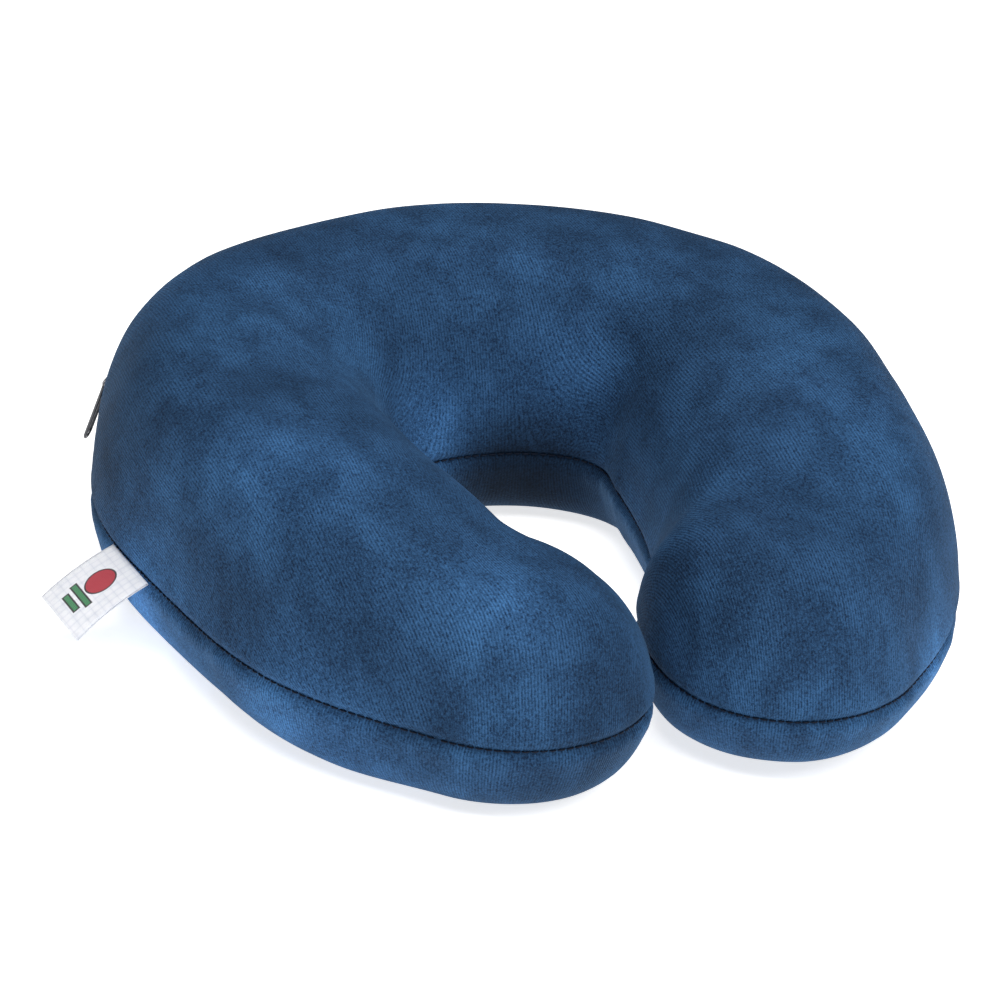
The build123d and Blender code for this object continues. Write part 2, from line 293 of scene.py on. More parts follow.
class Outline:
    """Columns all round the seam: outer side, right tip, inner side, left tip."""

    def __init__(self, line_columns=LINE_COLUMNS, tip_columns=TIP_COLUMNS):
        rows = [(-r[0],) + r[1:] for r in STATIONS[:0:-1]] + STATIONS
        turn = np.radians([r[0] for r in rows])
        reach = np.array([r[1] for r in rows], float)
        points = np.stack([reach * np.sin(turn), STATION_CENTRE_Y + reach * np.cos(turn)], -1)
        chord = np.concatenate([[0], np.cumsum(np.linalg.norm(np.diff(points, axis=0), axis=1))])
        line_x = natural_spline(chord, points[:, 0])
        line_y = natural_spline(chord, points[:, 1])

        def middle(at):
            return np.stack([line_x(at), line_y(at)], -1)

        def frame_at(at):
            along = middle(at + LINE_STEP) - middle(at - LINE_STEP)
            along /= np.linalg.norm(along, axis=-1, keepdims=True)
            return middle(at), along, np.stack([-along[..., 1], along[..., 0]], -1)

        at_rows = frame_at(np.clip(chord, LINE_STEP, chord[-1] - LINE_STEP))
        widths = []
        for i, row in enumerate(rows):
            offset = at_rows[0][i] - np.array([0, BACK_CENTRE_Y])
            along = offset @ at_rows[2][i]
            to_arc = math.sqrt(max(along**2 - offset @ offset + BACK_RADIUS**2, 1)) - along
            widths.append(to_arc if row[2] is None else row[2])
        width_at = natural_spline(chord, widths)
        top_at = natural_spline(chord, [r[3] for r in rows])
        lean_at = natural_spline(chord, [r[4] for r in rows])

        at = np.linspace(LINE_STEP, chord[-1] - LINE_STEP, line_columns)
        centre, along, out = frame_at(at)
        width = width_at(at)
        top = top_at(at)
        lean = lean_at(at)
        tip_turn = (np.pi * np.arange(1, tip_columns) / tip_columns)[:, None]
        ones = np.ones((tip_columns - 1, 1))

        def loop(line_values, end, start):
            return np.concatenate([line_values, ones * end, line_values[::-1], ones * start])

        self.centre = loop(centre, centre[-1], centre[0])
        right_tip = np.cos(tip_turn) * out[-1] + np.sin(tip_turn) * along[-1]
        left_tip = -np.cos(tip_turn) * out[0] - np.sin(tip_turn) * along[0]
        self.out = np.concatenate([out, right_tip, -out[::-1], left_tip])
        self.width = loop(width[:, None], width[-1], width[0])[:, 0]
        self.top = loop(top[:, None], top[-1], top[0])[:, 0]
        side = np.concatenate([np.ones(line_columns), np.zeros(tip_columns - 1)])
        side = np.concatenate([side, -np.ones(line_columns), np.zeros(tip_columns - 1)])
        lean_all = loop(lean[:, None], 0, 0)[:, 0]
        line_out = np.concatenate([out, ones * out[-1], out[::-1], ones * out[0]])
        self.crest = self.centre + line_out * (lean_all * self.width)[:, None]
        self.edge = self.centre + self.out * self.width[:, None]
        self.outer = side > 0
        self.widest = np.where(self.outer, seam_height(self.edge[:, 1]), SEAM_HEIGHT)
        ring = np.roll(self.edge, -1, 0) - self.edge
        self.along_seam = np.concatenate([[0], np.cumsum(np.linalg.norm(ring, axis=1))])[:-1]
        self.perimeter = self.along_seam[-1] + np.linalg.norm(ring[-1])
        from_back = self.edge - np.array([0, BACK_CENTRE_Y])
        back_angle = np.degrees(np.arctan2(from_back[:, 0], from_back[:, 1]))
        ease = smooth((SLOT_END_ANGLE - np.abs(back_angle)) / SLOT_EASE_ANGLE)
        self.slot = np.where(self.outer, SLOT_HALF * ease, 0)


def soft_noise(points, size, seed):
    """Smooth noise from -1 to 1 at an array of points, its features the given size in mm."""
    shift = Vector((seed * 17.3, seed * 5.9, seed * 11.1))
    return np.array([noise.noise(Vector(p) / size + shift) for p in points])


def profile_rows(length, slot, fine, rest):
    """Distances from the seam at which the rows lie, for each column."""
    start = slot[:, None]
    near = start + np.array(fine)[None, :]
    share = (np.arange(1, rest + 1) / rest)[None, :]
    far = near[:, -1:] + (length[:, None] - near[:, -1:]) * share
    return np.concatenate([near, far], 1)


def panel_grid(outline, upper, inset=0.0, fine=FINE_ROWS, rest=EVEN_ROWS):
    """Points [column, row, xyz] of one panel, from the seam to the crest or the underside."""
    share = np.sin(np.linspace(np.pi / 2, 0, PROFILE_STEPS))
    if upper:
        powers = TOP_POWERS
        goal = outline.top - inset
        line = outline.crest
    else:
        powers = BOTTOM_POWERS
        goal = np.full(len(outline.top), float(inset - BOTTOM_DIP))
        line = outline.centre
    rise = np.clip(1 - share ** powers[0], 0, 1) ** (1 / powers[1])
    edge = outline.edge - outline.out * inset
    plan = line[:, None, :] + (edge - line)[:, None, :] * share[None, :, None]
    height = outline.widest[:, None] + (goal - outline.widest)[:, None] * rise[None, :]
    if not upper:
        height = np.maximum(height, inset)
    dense = np.concatenate([plan, height[..., None]], -1)
    steps = np.linalg.norm(np.diff(dense, axis=1), axis=-1)
    length = np.concatenate([np.zeros((len(dense), 1)), np.cumsum(steps, 1)], 1)
    rows = profile_rows(length[:, -1], outline.slot, fine, rest)
    grid = np.empty(rows.shape + (3,))
    for i in range(len(dense)):
        for axis in range(3):
            grid[i, :, axis] = np.interp(rows[i], length[i], dense[i, :, axis])
    return grid, rows, length[:, -1]


def grid_normals(grid, upper):
    """Outward normals of a panel grid."""
    across = np.roll(grid, -1, 0) - np.roll(grid, 1, 0)
    up = np.gradient(grid, axis=1)
    normal = np.cross(across, up)
    if upper:
        normal = -normal
    size = np.linalg.norm(normal, axis=-1, keepdims=True)
    normal = normal / np.maximum(size, 1e-9)
    flat = size[..., 0] < 1e-6
    normal[flat] = (0, 0, 1 if upper else -1)
    return normal


def surface_relief(grid, rows, outline, upper):
    """How far the cloth stands out from the smooth shape, in mm."""
    distance = rows - outline.slot[:, None]
    closed = 1 - np.clip(outline.slot / SLOT_HALF, 0, 1)
    in_groove = np.exp(-((distance / GROOVE_WIDTH) ** 2))
    groove = -(GROOVE_DEPTH * closed - SLOT_RIM * (1 - closed))[:, None] * in_groove
    lip = LIP_HEIGHT * np.exp(-(((distance - LIP_PLACE) / LIP_WIDTH) ** 2))

    # noise along the seam is read round a circle as long as the seam, so its ends meet
    ring = 2 * np.pi * outline.along_seam / outline.perimeter
    ring_radius = outline.perimeter / (2 * np.pi)
    flat_ring = [np.cos(ring) * ring_radius, np.sin(ring) * ring_radius, np.zeros(len(rows))]
    circle = np.stack(flat_ring, -1)
    small = soft_noise(circle, PUCKER_SIZES[0], 1 if upper else 2)
    medium = soft_noise(circle, PUCKER_SIZES[1], 3 if upper else 4)
    where = 0.35 + 0.65 * np.clip(soft_noise(circle, PUCKER_PATCH, 5) + 0.55, 0, 1)
    height, reach = PUCKERS[upper]
    strength = height * where
    fade_in = 1 - np.exp(-((distance / PUCKER_START) ** 2))
    folds = (small * PUCKER_SHARES[0] + medium * PUCKER_SHARES[1])[:, None]
    pucker = folds * strength[:, None] * fade_in * np.exp(-distance / reach)
    wave = SEAM_WAVE[1] * soft_noise(circle, SEAM_WAVE[0], 9)[:, None] * in_groove

    flat = grid.reshape(-1, 3)
    swell = soft_noise(flat, SWELL_SIZES[0], 6) * SWELL_HEIGHTS[0]
    swell = (swell + soft_noise(flat, SWELL_SIZES[1], 7) * SWELL_HEIGHTS[1]).reshape(rows.shape)
    swell = swell * (1 - np.exp(-((distance / SWELL_START) ** 2)))
    relief = groove + lip + pucker + wave + swell
    if not upper:
        relief = relief * np.clip(grid[..., 2] / RESTING_HEIGHT, 0, 1)
    return relief


def widen(values, extra):
    """The values of the seam row repeated for the extra rows of a turned edge."""
    return np.concatenate([np.repeat(values[:, :1], extra, 1), values], 1)


def grid_mesh(name, grid, upper, turned_edge, fabric, wale=None, painted_light=None):
    """Mesh of a panel grid that closes on itself along the crest; optional edge turned inwards."""
    points = grid
    if turned_edge is not None:
        extra = turned_edge.shape[1]
        points = np.concatenate([turned_edge, grid], 1)
        fabric, wale, painted_light = widen(fabric, extra), widen(wale, extra), widen(painted_light, extra)
    columns, rows = points.shape[:2]
    index = np.arange(columns * rows).reshape(columns, rows)
    following = np.roll(index, -1, 0)
    a, b = index[:, :-1], index[:, 1:]
    c, d = following[:, 1:], following[:, :-1]
    order = (a, d, c, b) if upper else (a, b, c, d)
    faces = np.stack(order, -1).reshape(-1, 4)
    mesh = bpy.data.meshes.new(name)
    mesh.from_pydata((points.reshape(-1, 3) * MM).tolist(), [], faces.tolist())
    layer = mesh.attributes.new("fabric", "FLOAT_VECTOR", "POINT")
    layer.data.foreach_set("vector", fabric.reshape(-1, 3).astype(np.float32).ravel())
    if wale is not None:
        layer = mesh.attributes.new("wale", "FLOAT_VECTOR", "CORNER")
        layer.data.foreach_set("vector", wale_at_corners(wale, faces).ravel())
        layer = mesh.attributes.new("painted_light", "FLOAT", "POINT")
        layer.data.foreach_set("value", painted_light.ravel().astype(np.float32))
    piece = add_object(name, mesh)
    weld(piece, PANEL_WELD)
    return piece


def add_object(name, mesh):
    """Smooth shaded object of a mesh, linked to the scene."""
    piece = bpy.data.objects.new(name, mesh)
    bpy.context.scene.collection.objects.link(piece)
    for face in mesh.polygons:
        face.use_smooth = True
    return piece


def weld(piece, distance):
    """Join points closer than the distance, and turn every face outwards."""
    work = bmesh.new()
    work.from_mesh(piece.data)
    bmesh.ops.remove_doubles(work, verts=work.verts, dist=distance)
    bmesh.ops.recalc_face_normals(work, faces=work.faces)
    for face in work.faces:
        face.smooth = True
    work.to_mesh(piece.data)
    work.free()


def wale_at_corners(wale, faces):
    """Wale coordinates of the face corners, with no jump where the seam's length starts again."""
    flat = wale.reshape(-1, 3)
    corners = flat[faces]
    span = corners[..., 0].max(1, keepdims=True) - corners[..., 0].min(1, keepdims=True)
    wrap = (span > WALE_JUMP) & (corners[..., 0] < WALE_JUMP)
    corners[..., 0] += np.where(wrap, flat[:, 0].max() + LAST_COLUMN_WIDTH, 0)
    return corners.astype(np.float32)


def fabric_coordinates(outline, grid, rows, length, upper):
    """Where each point lies on the flat cloth, in mm, unrolled outwards from the crest."""
    line = outline.crest if upper else outline.centre
    direction = outline.edge - line
    direction = direction / np.linalg.norm(direction, axis=1, keepdims=True)
    from_line = length[:, None] - rows
    plan = np.linalg.norm(grid[..., :2] - line[:, None, :], axis=-1)
    spare = np.maximum(from_line - plan, 0)
    eased = (direction * direction**2)[:, None, :] * spare[..., None]
    unrolled = grid[..., :2] + eased
    side = np.full(unrolled.shape[:2] + (1,), 0.0 if upper else LOWER_CLOTH_SHIFT)
    return np.concatenate([unrolled, side], -1)


def wale_coordinates(outline, fabric, rows, grid, upper):
    """Across the wales, along them, and 1 where they run straight down from the seam."""
    if upper:
        return np.concatenate([fabric[..., :2], np.zeros(rows.shape + (1,))], -1)
    band = (grid[..., 2] > BAND_FOOT).astype(float)
    across = np.where(band > 0, outline.along_seam[:, None] + 0 * rows, fabric[..., 0])
    along = np.where(band > 0, rows, fabric[..., 1])
    return np.stack([across, along, band], -1)


def cover_panel(name, outline, upper):
    """One velour panel: smooth shape, then relief, then the settling of the arms."""
    grid, rows, length = panel_grid(outline, upper)
    normal = grid_normals(grid, upper)
    sideways = np.concatenate([outline.out, np.zeros((len(outline.out), 1))], 1)[:, None, :]
    hold = np.exp(-(((rows - outline.slot[:, None]) / SEAM_HOLD) ** 2))[..., None]
    normal = normal * (1 - hold) + sideways * hold
    fabric = fabric_coordinates(outline, grid, rows, length, upper)
    wale = wale_coordinates(outline, fabric, rows, grid, upper)
    grid = grid + normal * surface_relief(grid, rows, outline, upper)[..., None]
    # painted light and shade of the patches, stored on the points
    painted_light = painted_light_gain(grid)
    turned = settle(grid[:, :1] - sideways * np.array(TURNED_EDGE_DEPTHS)[None, :, None])
    grid = settle(grid)
    grid[..., 2] = np.maximum(grid[..., 2], FLOOR_CLEARANCE)
    return grid_mesh(name, grid, upper, turned, fabric, wale, painted_light)


def inner_body(name, outline, inset):
    """Closed body inside the cover, such as the liner or the foam."""
    parts = []
    for upper in (True, False):
        grid, rows, length = panel_grid(outline, upper, inset, INNER_FINE_ROWS, INNER_EVEN_ROWS)
        fabric = fabric_coordinates(outline, grid, rows, length, upper)
        parts.append(grid_mesh(name, settle(grid), upper, None, fabric))
    return join(parts, BODY_WELD)


def join(pieces, weld_distance):
    """Join mesh objects into the first, and weld where they meet."""
    with bpy.context.temp_override(active_object=pieces[0], selected_editable_objects=pieces):
        bpy.ops.object.join()
    weld(pieces[0], weld_distance)
    return pieces[0]


# ---------------------------------------------------------------- tubes, stitches and the zip
def tube_mesh(name, paths, radius, sides=6):
    """One mesh of round tubes with closed ends along each path of points, in mm."""
    vertices = []
    faces = []
    for path in paths:
        path = np.asarray(path, float)
        along = np.gradient(path, axis=0)
        along /= np.linalg.norm(along, axis=1, keepdims=True)
        helper = np.array([0, 0, 1.0]) if abs(along[0, 2]) < 0.8 else np.array([1.0, 0, 0])
        first = len(vertices)
        for point, direction in zip(path, along):
            helper = helper - direction * (helper @ direction)
            helper /= np.linalg.norm(helper)
            other = np.cross(direction, helper)
            for k in range(sides):
                turn = 2 * math.pi * k / sides
                out = math.cos(turn) * helper + math.sin(turn) * other
                vertices.append(point + radius * out)
        count = len(path)
        for i in range(count - 1):
            for k in range(sides):
                a = first + i * sides + k
                b = first + i * sides + (k + 1) % sides
                faces.append((a, b, b + sides, a + sides))
        faces.append(tuple(first + k for k in reversed(range(sides))))
        last = first + (count - 1) * sides
        faces.append(tuple(last + k for k in range(sides)))
    mesh = bpy.data.meshes.new(name)
    mesh.from_pydata((np.array(vertices) * MM).tolist(), [], faces)
    return add_object(name, mesh)


def seam_stitches(outline):
    """Lockstitches bridging the groove all round, apart from the zip."""
    stretch = np.array([0.12, 0.3, 0.5, 0.7, 0.88])
    depth = STITCH_DEPTH + np.array([1.0, 0.2, 0, 0.2, 1.0]) * STITCH_SINK

    def along(at, values):
        return np.interp(at, outline.along_seam, values, period=outline.perimeter)

    paths = []
    for i in range(int(outline.perimeter / STITCH_PITCH)):
        if np.interp(i * STITCH_PITCH, outline.along_seam, outline.slot) > STITCH_STOP:
            continue
        at = (i + stretch) * STITCH_PITCH
        x = along(at, outline.edge[:, 0]) - along(at, outline.out[:, 0]) * depth
        y = along(at, outline.edge[:, 1]) - along(at, outline.out[:, 1]) * depth
        paths.append(settle(np.stack([x, y, along(at, outline.widest)], -1)))
    return tube_mesh("seam_stitches", paths, THREAD_RADIUS)


def back_point(angle, radius, height):
    """Points about the centre of the back arc, by angle in degrees, radius and height in mm."""
    turn = np.radians(angle)
    x = radius * np.sin(turn)
    y = BACK_CENTRE_Y + radius * np.cos(turn)
    return np.stack([x, y, height + 0 * turn], -1)


def zip_coil(name, side):
    """One nylon coil: a helix whose loops reach the middle between the other coil's loops."""
    arc = math.radians(2 * ZIP_END_ANGLE) * COIL_RADIUS
    turns = int(arc / COIL_PITCH)
    step = np.arange(turns * COIL_STEPS_PER_TURN + 1) / COIL_STEPS_PER_TURN
    phase = step * 2 * math.pi + (math.pi if side < 0 else 0)
    share = (step + (0.5 if side < 0 else 0)) / (turns + 0.5)
    angle = -ZIP_END_ANGLE + 2 * ZIP_END_ANGLE * share
    height = ZIP_HEIGHT + side * (COIL_MIDDLE + COIL_HALF_HEIGHT * np.cos(phase))
    radius = COIL_RADIUS + COIL_HALF_DEPTH * np.sin(phase)
    return tube_mesh(name, [back_point(angle, radius, height)], COIL_WIRE)


def zip_tape(name, side):
    """Woven tape from the middle gap up, or down, to under the turned edge of the cover."""
    angles = np.linspace(-TAPE_END_ANGLE, TAPE_END_ANGLE, TAPE_STATIONS)
    front = []
    for level in np.linspace(*TAPE_HEIGHTS, TAPE_LEVELS):
        wave = TAPE_WAVE * np.sin(angles * 1.7 + level) * min(level / 3, 1)
        front.append(back_point(angles, TAPE_RADIUS + wave, ZIP_HEIGHT + side * level))
    centre = np.array([0, BACK_CENTRE_Y, 0])
    shrink = np.array([TAPE_REAR_SHARE, TAPE_REAR_SHARE, 1])
    rear = [(points - centre) * shrink + centre for points in reversed(front)]
    return strip_mesh(name, np.stack(front + rear, 1))


def strip_mesh(name, loops):
    """Closed tube through a row of loops [station, point, xyz], its two ends capped."""
    stations, around = loops.shape[:2]
    index = np.arange(stations * around).reshape(stations, around)
    following = np.roll(index, -1, 1)
    faces = np.stack([index[:-1], following[:-1], following[1:], index[1:]], -1)
    faces = faces.reshape(-1, 4).tolist()
    faces.append(index[0].tolist())
    faces.append(index[-1][::-1].tolist())
    mesh = bpy.data.meshes.new(name)
    mesh.from_pydata((loops.reshape(-1, 3) * MM).tolist(), [], faces)
    piece = add_object(name, mesh)
    weld(piece, STRIP_WELD)
    return piece


# ---------------------------------------------------------------- ribbon label
def ribbon_line():
    """Side view of the folded ribbon, seam to fold and back, and how many points face up."""
    fold_radius = LABEL_HALF_GAP
    fold_x = LABEL_LENGTH - LABEL_FOLD
    top = [(x, fold_radius) for x in np.linspace(-LABEL_SEWN_IN, fold_x, 26)]
    fold = []
    for turn in np.linspace(0.3, math.pi - 0.3, 7):
        x = fold_x + 1.3 * fold_radius * math.sin(turn)
        fold.append((x, fold_radius * math.cos(turn)))
    under = [(x, -fold_radius) for x in np.linspace(fold_x, -LABEL_SEWN_IN, 26)]
    return np.array(top + fold + under), len(top) + 3


def ribbon_label():
    """White ribbon folded back on itself, sewn into the seam, hanging with a slight curl."""
    line, facing_up = ribbon_line()
    count = len(line)
    vertices = []
    coords = []
    for j in range(LABEL_COLUMNS + 1):
        v = j / LABEL_COLUMNS - 0.5
        for i, (x, z) in enumerate(line):
            share = max(x, 0) / LABEL_LENGTH
            droop = math.radians(LABEL_DROOP) + LABEL_CURL * (share - 0.5)
            sag = LABEL_SAG * (share**2) * math.cos(math.pi * v) - LABEL_TWIST * share * v * 2
            px = x * math.cos(droop) - (z + sag) * math.sin(-droop)
            pz = -x * math.sin(droop) + (z + sag) * math.cos(droop)
            vertices.append((px, v * LABEL_WIDTH * (1 + LABEL_SPREAD * share), pz))
            coords.append((x, v * LABEL_WIDTH, 1.0 if i < facing_up else 0.0))
    faces = []
    for j in range(LABEL_COLUMNS):
        for i in range(count - 1):
            a = j * count + i
            faces.append((a, a + 1, a + 1 + count, a + count))
    turn = Matrix.Rotation(math.radians(LABEL_HEADING), 4, "Z")
    place = Matrix.Translation((LABEL_POINT[0], LABEL_POINT[1], SEAM_HEIGHT)) @ turn
    mesh = bpy.data.meshes.new("label_ribbon")
    mesh.from_pydata([tuple((place @ Vector(p)) * MM) for p in vertices], [], faces)
    layer = mesh.attributes.new("ribbon", "FLOAT_VECTOR", "POINT")
    layer.data.foreach_set("vector", np.array(coords, np.float32).ravel())
    piece = add_object("label_ribbon", mesh)
    thickness = piece.modifiers.new("thickness", "SOLIDIFY")
    thickness.thickness = LABEL_THICKNESS * MM
    thickness.offset = 0
    return piece


# ---------------------------------------------------------------- materials
class Nodes:
    """Short hand for building a material's node tree."""

    def __init__(self, name):
        self.material = bpy.data.materials.new(name)
        self.material.use_nodes = True
        self.tree = self.material.node_tree
        self.shader = self.tree.nodes["Principled BSDF"]

    def node(self, kind, **values):
        made = self.tree.nodes.new(kind)
        for key, value in values.items():
            setattr(made, key, value)
        return made

    def link(self, source, target):
        self.tree.links.new(source, target)

    def put(self, socket, value):
        if isinstance(value, bpy.types.NodeSocket):
            self.link(value, socket)
        else:
            socket.default_value = value

    def math(self, operation, a, b=0.0, clamp=False):
        made = self.node("ShaderNodeMath", operation=operation, use_clamp=clamp)
        self.put(made.inputs[0], a)
        self.put(made.inputs[1], b)
        return made.outputs[0]

    def scale_add(self, value, scale, offset):
        made = self.node("ShaderNodeMath", operation="MULTIPLY_ADD")
        self.put(made.inputs[0], value)
        made.inputs[1].default_value = scale
        made.inputs[2].default_value = offset
        return made.outputs[0]

    def attribute(self, name, output="Vector"):
        return self.node("ShaderNodeAttribute", attribute_name=name).outputs[output]

    def place(self):
        return self.node("ShaderNodeTexCoord").outputs["Object"]

    def add(self, a, b):
        return self.math("ADD", a, b)

    def times(self, a, b):
        return self.math("MULTIPLY", a, b)

    def waves(self, value, pitch):
        """Sine of the value, repeating at the pitch."""
        return self.math("SINE", self.times(value, 2 * math.pi / pitch))

    def split(self, vector):
        made = self.node("ShaderNodeSeparateXYZ")
        self.put(made.inputs[0], vector)
        return made.outputs

    def scaled(self, vector, scale):
        made = self.node("ShaderNodeMapping")
        self.put(made.inputs["Vector"], vector)
        made.inputs["Scale"].default_value = scale
        return made.outputs[0]

    def noise(self, vector, scale=1.0, detail=2.0, roughness=0.5, distortion=0.0):
        made = self.node("ShaderNodeTexNoise")
        self.put(made.inputs["Vector"], vector)
        made.inputs["Scale"].default_value = scale
        made.inputs["Detail"].default_value = detail
        made.inputs["Roughness"].default_value = roughness
        made.inputs["Distortion"].default_value = distortion
        return made.outputs["Fac"]

    def ramp(self, value, stops):
        made = self.node("ShaderNodeValToRGB")
        self.put(made.inputs[0], value)
        elements = made.color_ramp.elements
        while len(elements) < len(stops):
            elements.new(0.5)
        for element, (position, colour) in zip(elements, stops):
            element.position = position
            element.color = colour
        return made.outputs[0]

    def mix(self, share, a, b, blend="MIX"):
        made = self.node("ShaderNodeMix", data_type="RGBA", blend_type=blend)
        self.put(made.inputs[0], share)
        self.put(made.inputs[6], a)
        self.put(made.inputs[7], b)
        return made.outputs[2]

    def bump(self, height, distance, strength):
        """Give the shader a bump of the height, its distance in metres."""
        made = self.node("ShaderNodeBump")
        made.inputs["Distance"].default_value = distance
        made.inputs["Strength"].default_value = strength
        self.put(made.inputs["Height"], height)
        self.link(made.outputs[0], self.shader.inputs["Normal"])

    def set(self, **values):
        for key, value in values.items():
            self.put(self.shader.inputs[key.replace("_", " ")], value)


def grey(value):
    return (value, value, value, 1)


def velour_material(name, sheen):
    """Short-pile velour: fine broken wales, patches of nap, a soft sheen, and painted light and
    shade from the patches stored on the mesh.
    """
    n = Nodes(name)
    cloth = n.attribute("fabric")
    across = n.split(n.attribute("wale"))[0]
    where = n.place()
    wander = n.noise(n.scaled(cloth, (0.07, 0.05, 1)), 1.0, 2.0)
    phase = n.add(n.times(across, 2 * math.pi / WALE_PITCH), n.times(wander, 7.0))
    wale = n.scale_add(n.math("SINE", phase), 0.5, 0.5)
    strokes = n.noise(n.scaled(where, (1350, 900, 1100)), 1.0, 2.0, 0.6)
    pile = n.noise(where, 2400, 1.0, 0.6)

    # soft patches where the pile lies one way or the other
    nap_large = n.noise(n.scaled(cloth, (0.017, 0.013, 1)), 1.0, 2.0, 0.5, 0.3)
    nap_small = n.noise(n.scaled(cloth, (0.06, 0.045, 1)), 1.0, 3.0, 0.55, 0.2)
    patch = n.add(n.times(nap_large, 0.7), n.times(nap_small, 0.3))
    base = n.ramp(patch, [(0.36, NAVY_DARK), (0.5, NAVY), (0.64, NAVY_LIGHT)])

    # speckle of the pile over the wales
    show = n.ramp(nap_small, [(0.38, grey(0.05)), (0.62, grey(0.26))])
    grain = n.add(n.add(n.times(wale, show), strokes), n.times(pile, 0.7))
    speckle = [(0.2, (0.34, 0.34, 0.37, 1)), (0.76, (1.95, 1.95, 1.86, 1))]
    shade = n.ramp(n.scale_add(grain, 1.0, -0.45), speckle)
    colour = n.mix(1.0, base, shade, "MULTIPLY")
    # painted light and shade: the gain of the painted patches multiplies the colour
    colour = n.mix(1.0, colour, n.attribute("painted_light", "Fac"), "MULTIPLY")
    n.set(Base_Color=colour, Roughness=0.9, Specular_IOR_Level=0.12)
    n.set(Sheen_Weight=sheen, Sheen_Roughness=0.34, Sheen_Tint=(0.25, 0.55, 1.0, 1))
    n.bump(n.add(n.times(wale, 0.5), n.add(strokes, n.times(pile, 0.6))), 0.00025, 0.8)
    return n.material


def thread_material(name, colour):
    """Twisted polyester thread."""
    n = Nodes(name)
    twist = n.noise(n.scaled(n.place(), (2500, 2500, 6000)), 1.0, 2.0)
    dark = tuple(0.6 * c for c in colour[:3]) + (1,)
    shade = n.ramp(twist, [(0.3, dark), (0.7, colour)])
    n.set(Base_Color=shade, Roughness=0.7, Specular_IOR_Level=0.2)
    n.bump(twist, 0.0001, 0.6)
    return n.material


def tape_material():
    """Woven zip tape with a fine herringbone."""
    n = Nodes("zip_tape_weave")
    where = n.place()
    x, y, z = n.split(where)
    zigzag = n.math("ABSOLUTE", n.math("SUBTRACT", n.math("FRACT", n.times(z, 450)), 0.5))
    run = n.times(n.math("ARCTAN2", x, n.math("SUBTRACT", y, BACK_CENTRE_Y * MM)), 340.0)
    weave = n.math("SINE", n.times(n.add(run, n.times(zigzag, 3.0)), 2 * math.pi * 0.7))
    mottled = n.noise(where, 900, 2.0)
    threads = [(0.2, (0.006, 0.013, 0.035, 1)), (0.8, (0.02, 0.045, 0.115, 1))]
    shade = n.ramp(n.scale_add(weave, 0.5, 0.5), threads)
    colour = n.mix(n.times(mottled, 0.35), shade, (0.03, 0.06, 0.14, 1))
    n.set(Base_Color=colour, Roughness=0.75)
    n.bump(weave, 0.00012, 0.7)
    return n.material


def nylon_material():
    """Glossy navy nylon of the zip's coils."""
    n = Nodes("zip_nylon")
    cloudy = n.noise(n.place(), 700, 2.0)
    shade = n.ramp(cloudy, [(0.3, (0.008, 0.014, 0.035, 1)), (0.7, (0.018, 0.034, 0.08, 1))])
    n.set(Base_Color=shade, Roughness=0.38, Coat_Weight=0.15)
    return n.material


def metal_material():
    """Black nickel, worn a little brighter where it rubs."""
    n = Nodes("black_nickel")
    rubbed = n.noise(n.place(), 420, 4.0, 0.65)
    pointed = n.node("ShaderNodeNewGeometry").outputs["Pointiness"]
    edges = n.times(n.math("SUBTRACT", pointed, 0.5), 6.0)
    wear = n.math("ADD", edges, n.times(rubbed, 0.35), True)
    shade = n.ramp(wear, [(0.15, (0.035, 0.037, 0.042, 1)), (0.75, (0.22, 0.22, 0.23, 1))])
    n.set(Base_Color=shade, Metallic=0.95, Roughness=n.scale_add(rubbed, 0.22, 0.2))
    n.bump(rubbed, 0.00004, 0.5)
    return n.material


def disc(n, x, y, centre, radius):
    """1 inside a circle on the ribbon and 0 outside, in mm."""
    dx = n.math("SUBTRACT", x, centre[0])
    dy = n.math("SUBTRACT", y, centre[1])
    far = n.math("SQRT", n.add(n.times(dx, dx), n.times(dy, dy)))
    return n.math("DIVIDE", n.math("SUBTRACT", radius, far), PRINT_EDGE, True)


def bar(n, x, y, centre, half):
    """1 inside an upright rectangle on the ribbon and 0 outside, in mm."""
    far_x = n.math("SUBTRACT", n.math("ABSOLUTE", n.math("SUBTRACT", x, centre[0])), half[0])
    far_y = n.math("SUBTRACT", n.math("ABSOLUTE", n.math("SUBTRACT", y, centre[1])), half[1])
    inside = n.math("SUBTRACT", 0, n.math("MAXIMUM", far_x, far_y))
    return n.math("DIVIDE", inside, PRINT_EDGE, True)


def print_shapes(n, x, y):
    """Shape, the same shape grown by its outline, and colour, of each thing on the label."""
    centre, radius = (10.4, -0.6), 5.6
    around = radius + PRINT_OUTLINE
    yield disc(n, x, y, centre, radius), disc(n, x, y, centre, around), PRINT_RED
    for centre, half in (((18.4, -0.6), (1.0, 7.0)), ((22.6, -0.6), (1.0, 5.0))):
        around = (half[0] + PRINT_OUTLINE, half[1] + PRINT_OUTLINE)
        yield bar(n, x, y, centre, half), bar(n, x, y, centre, around), PRINT_GREEN


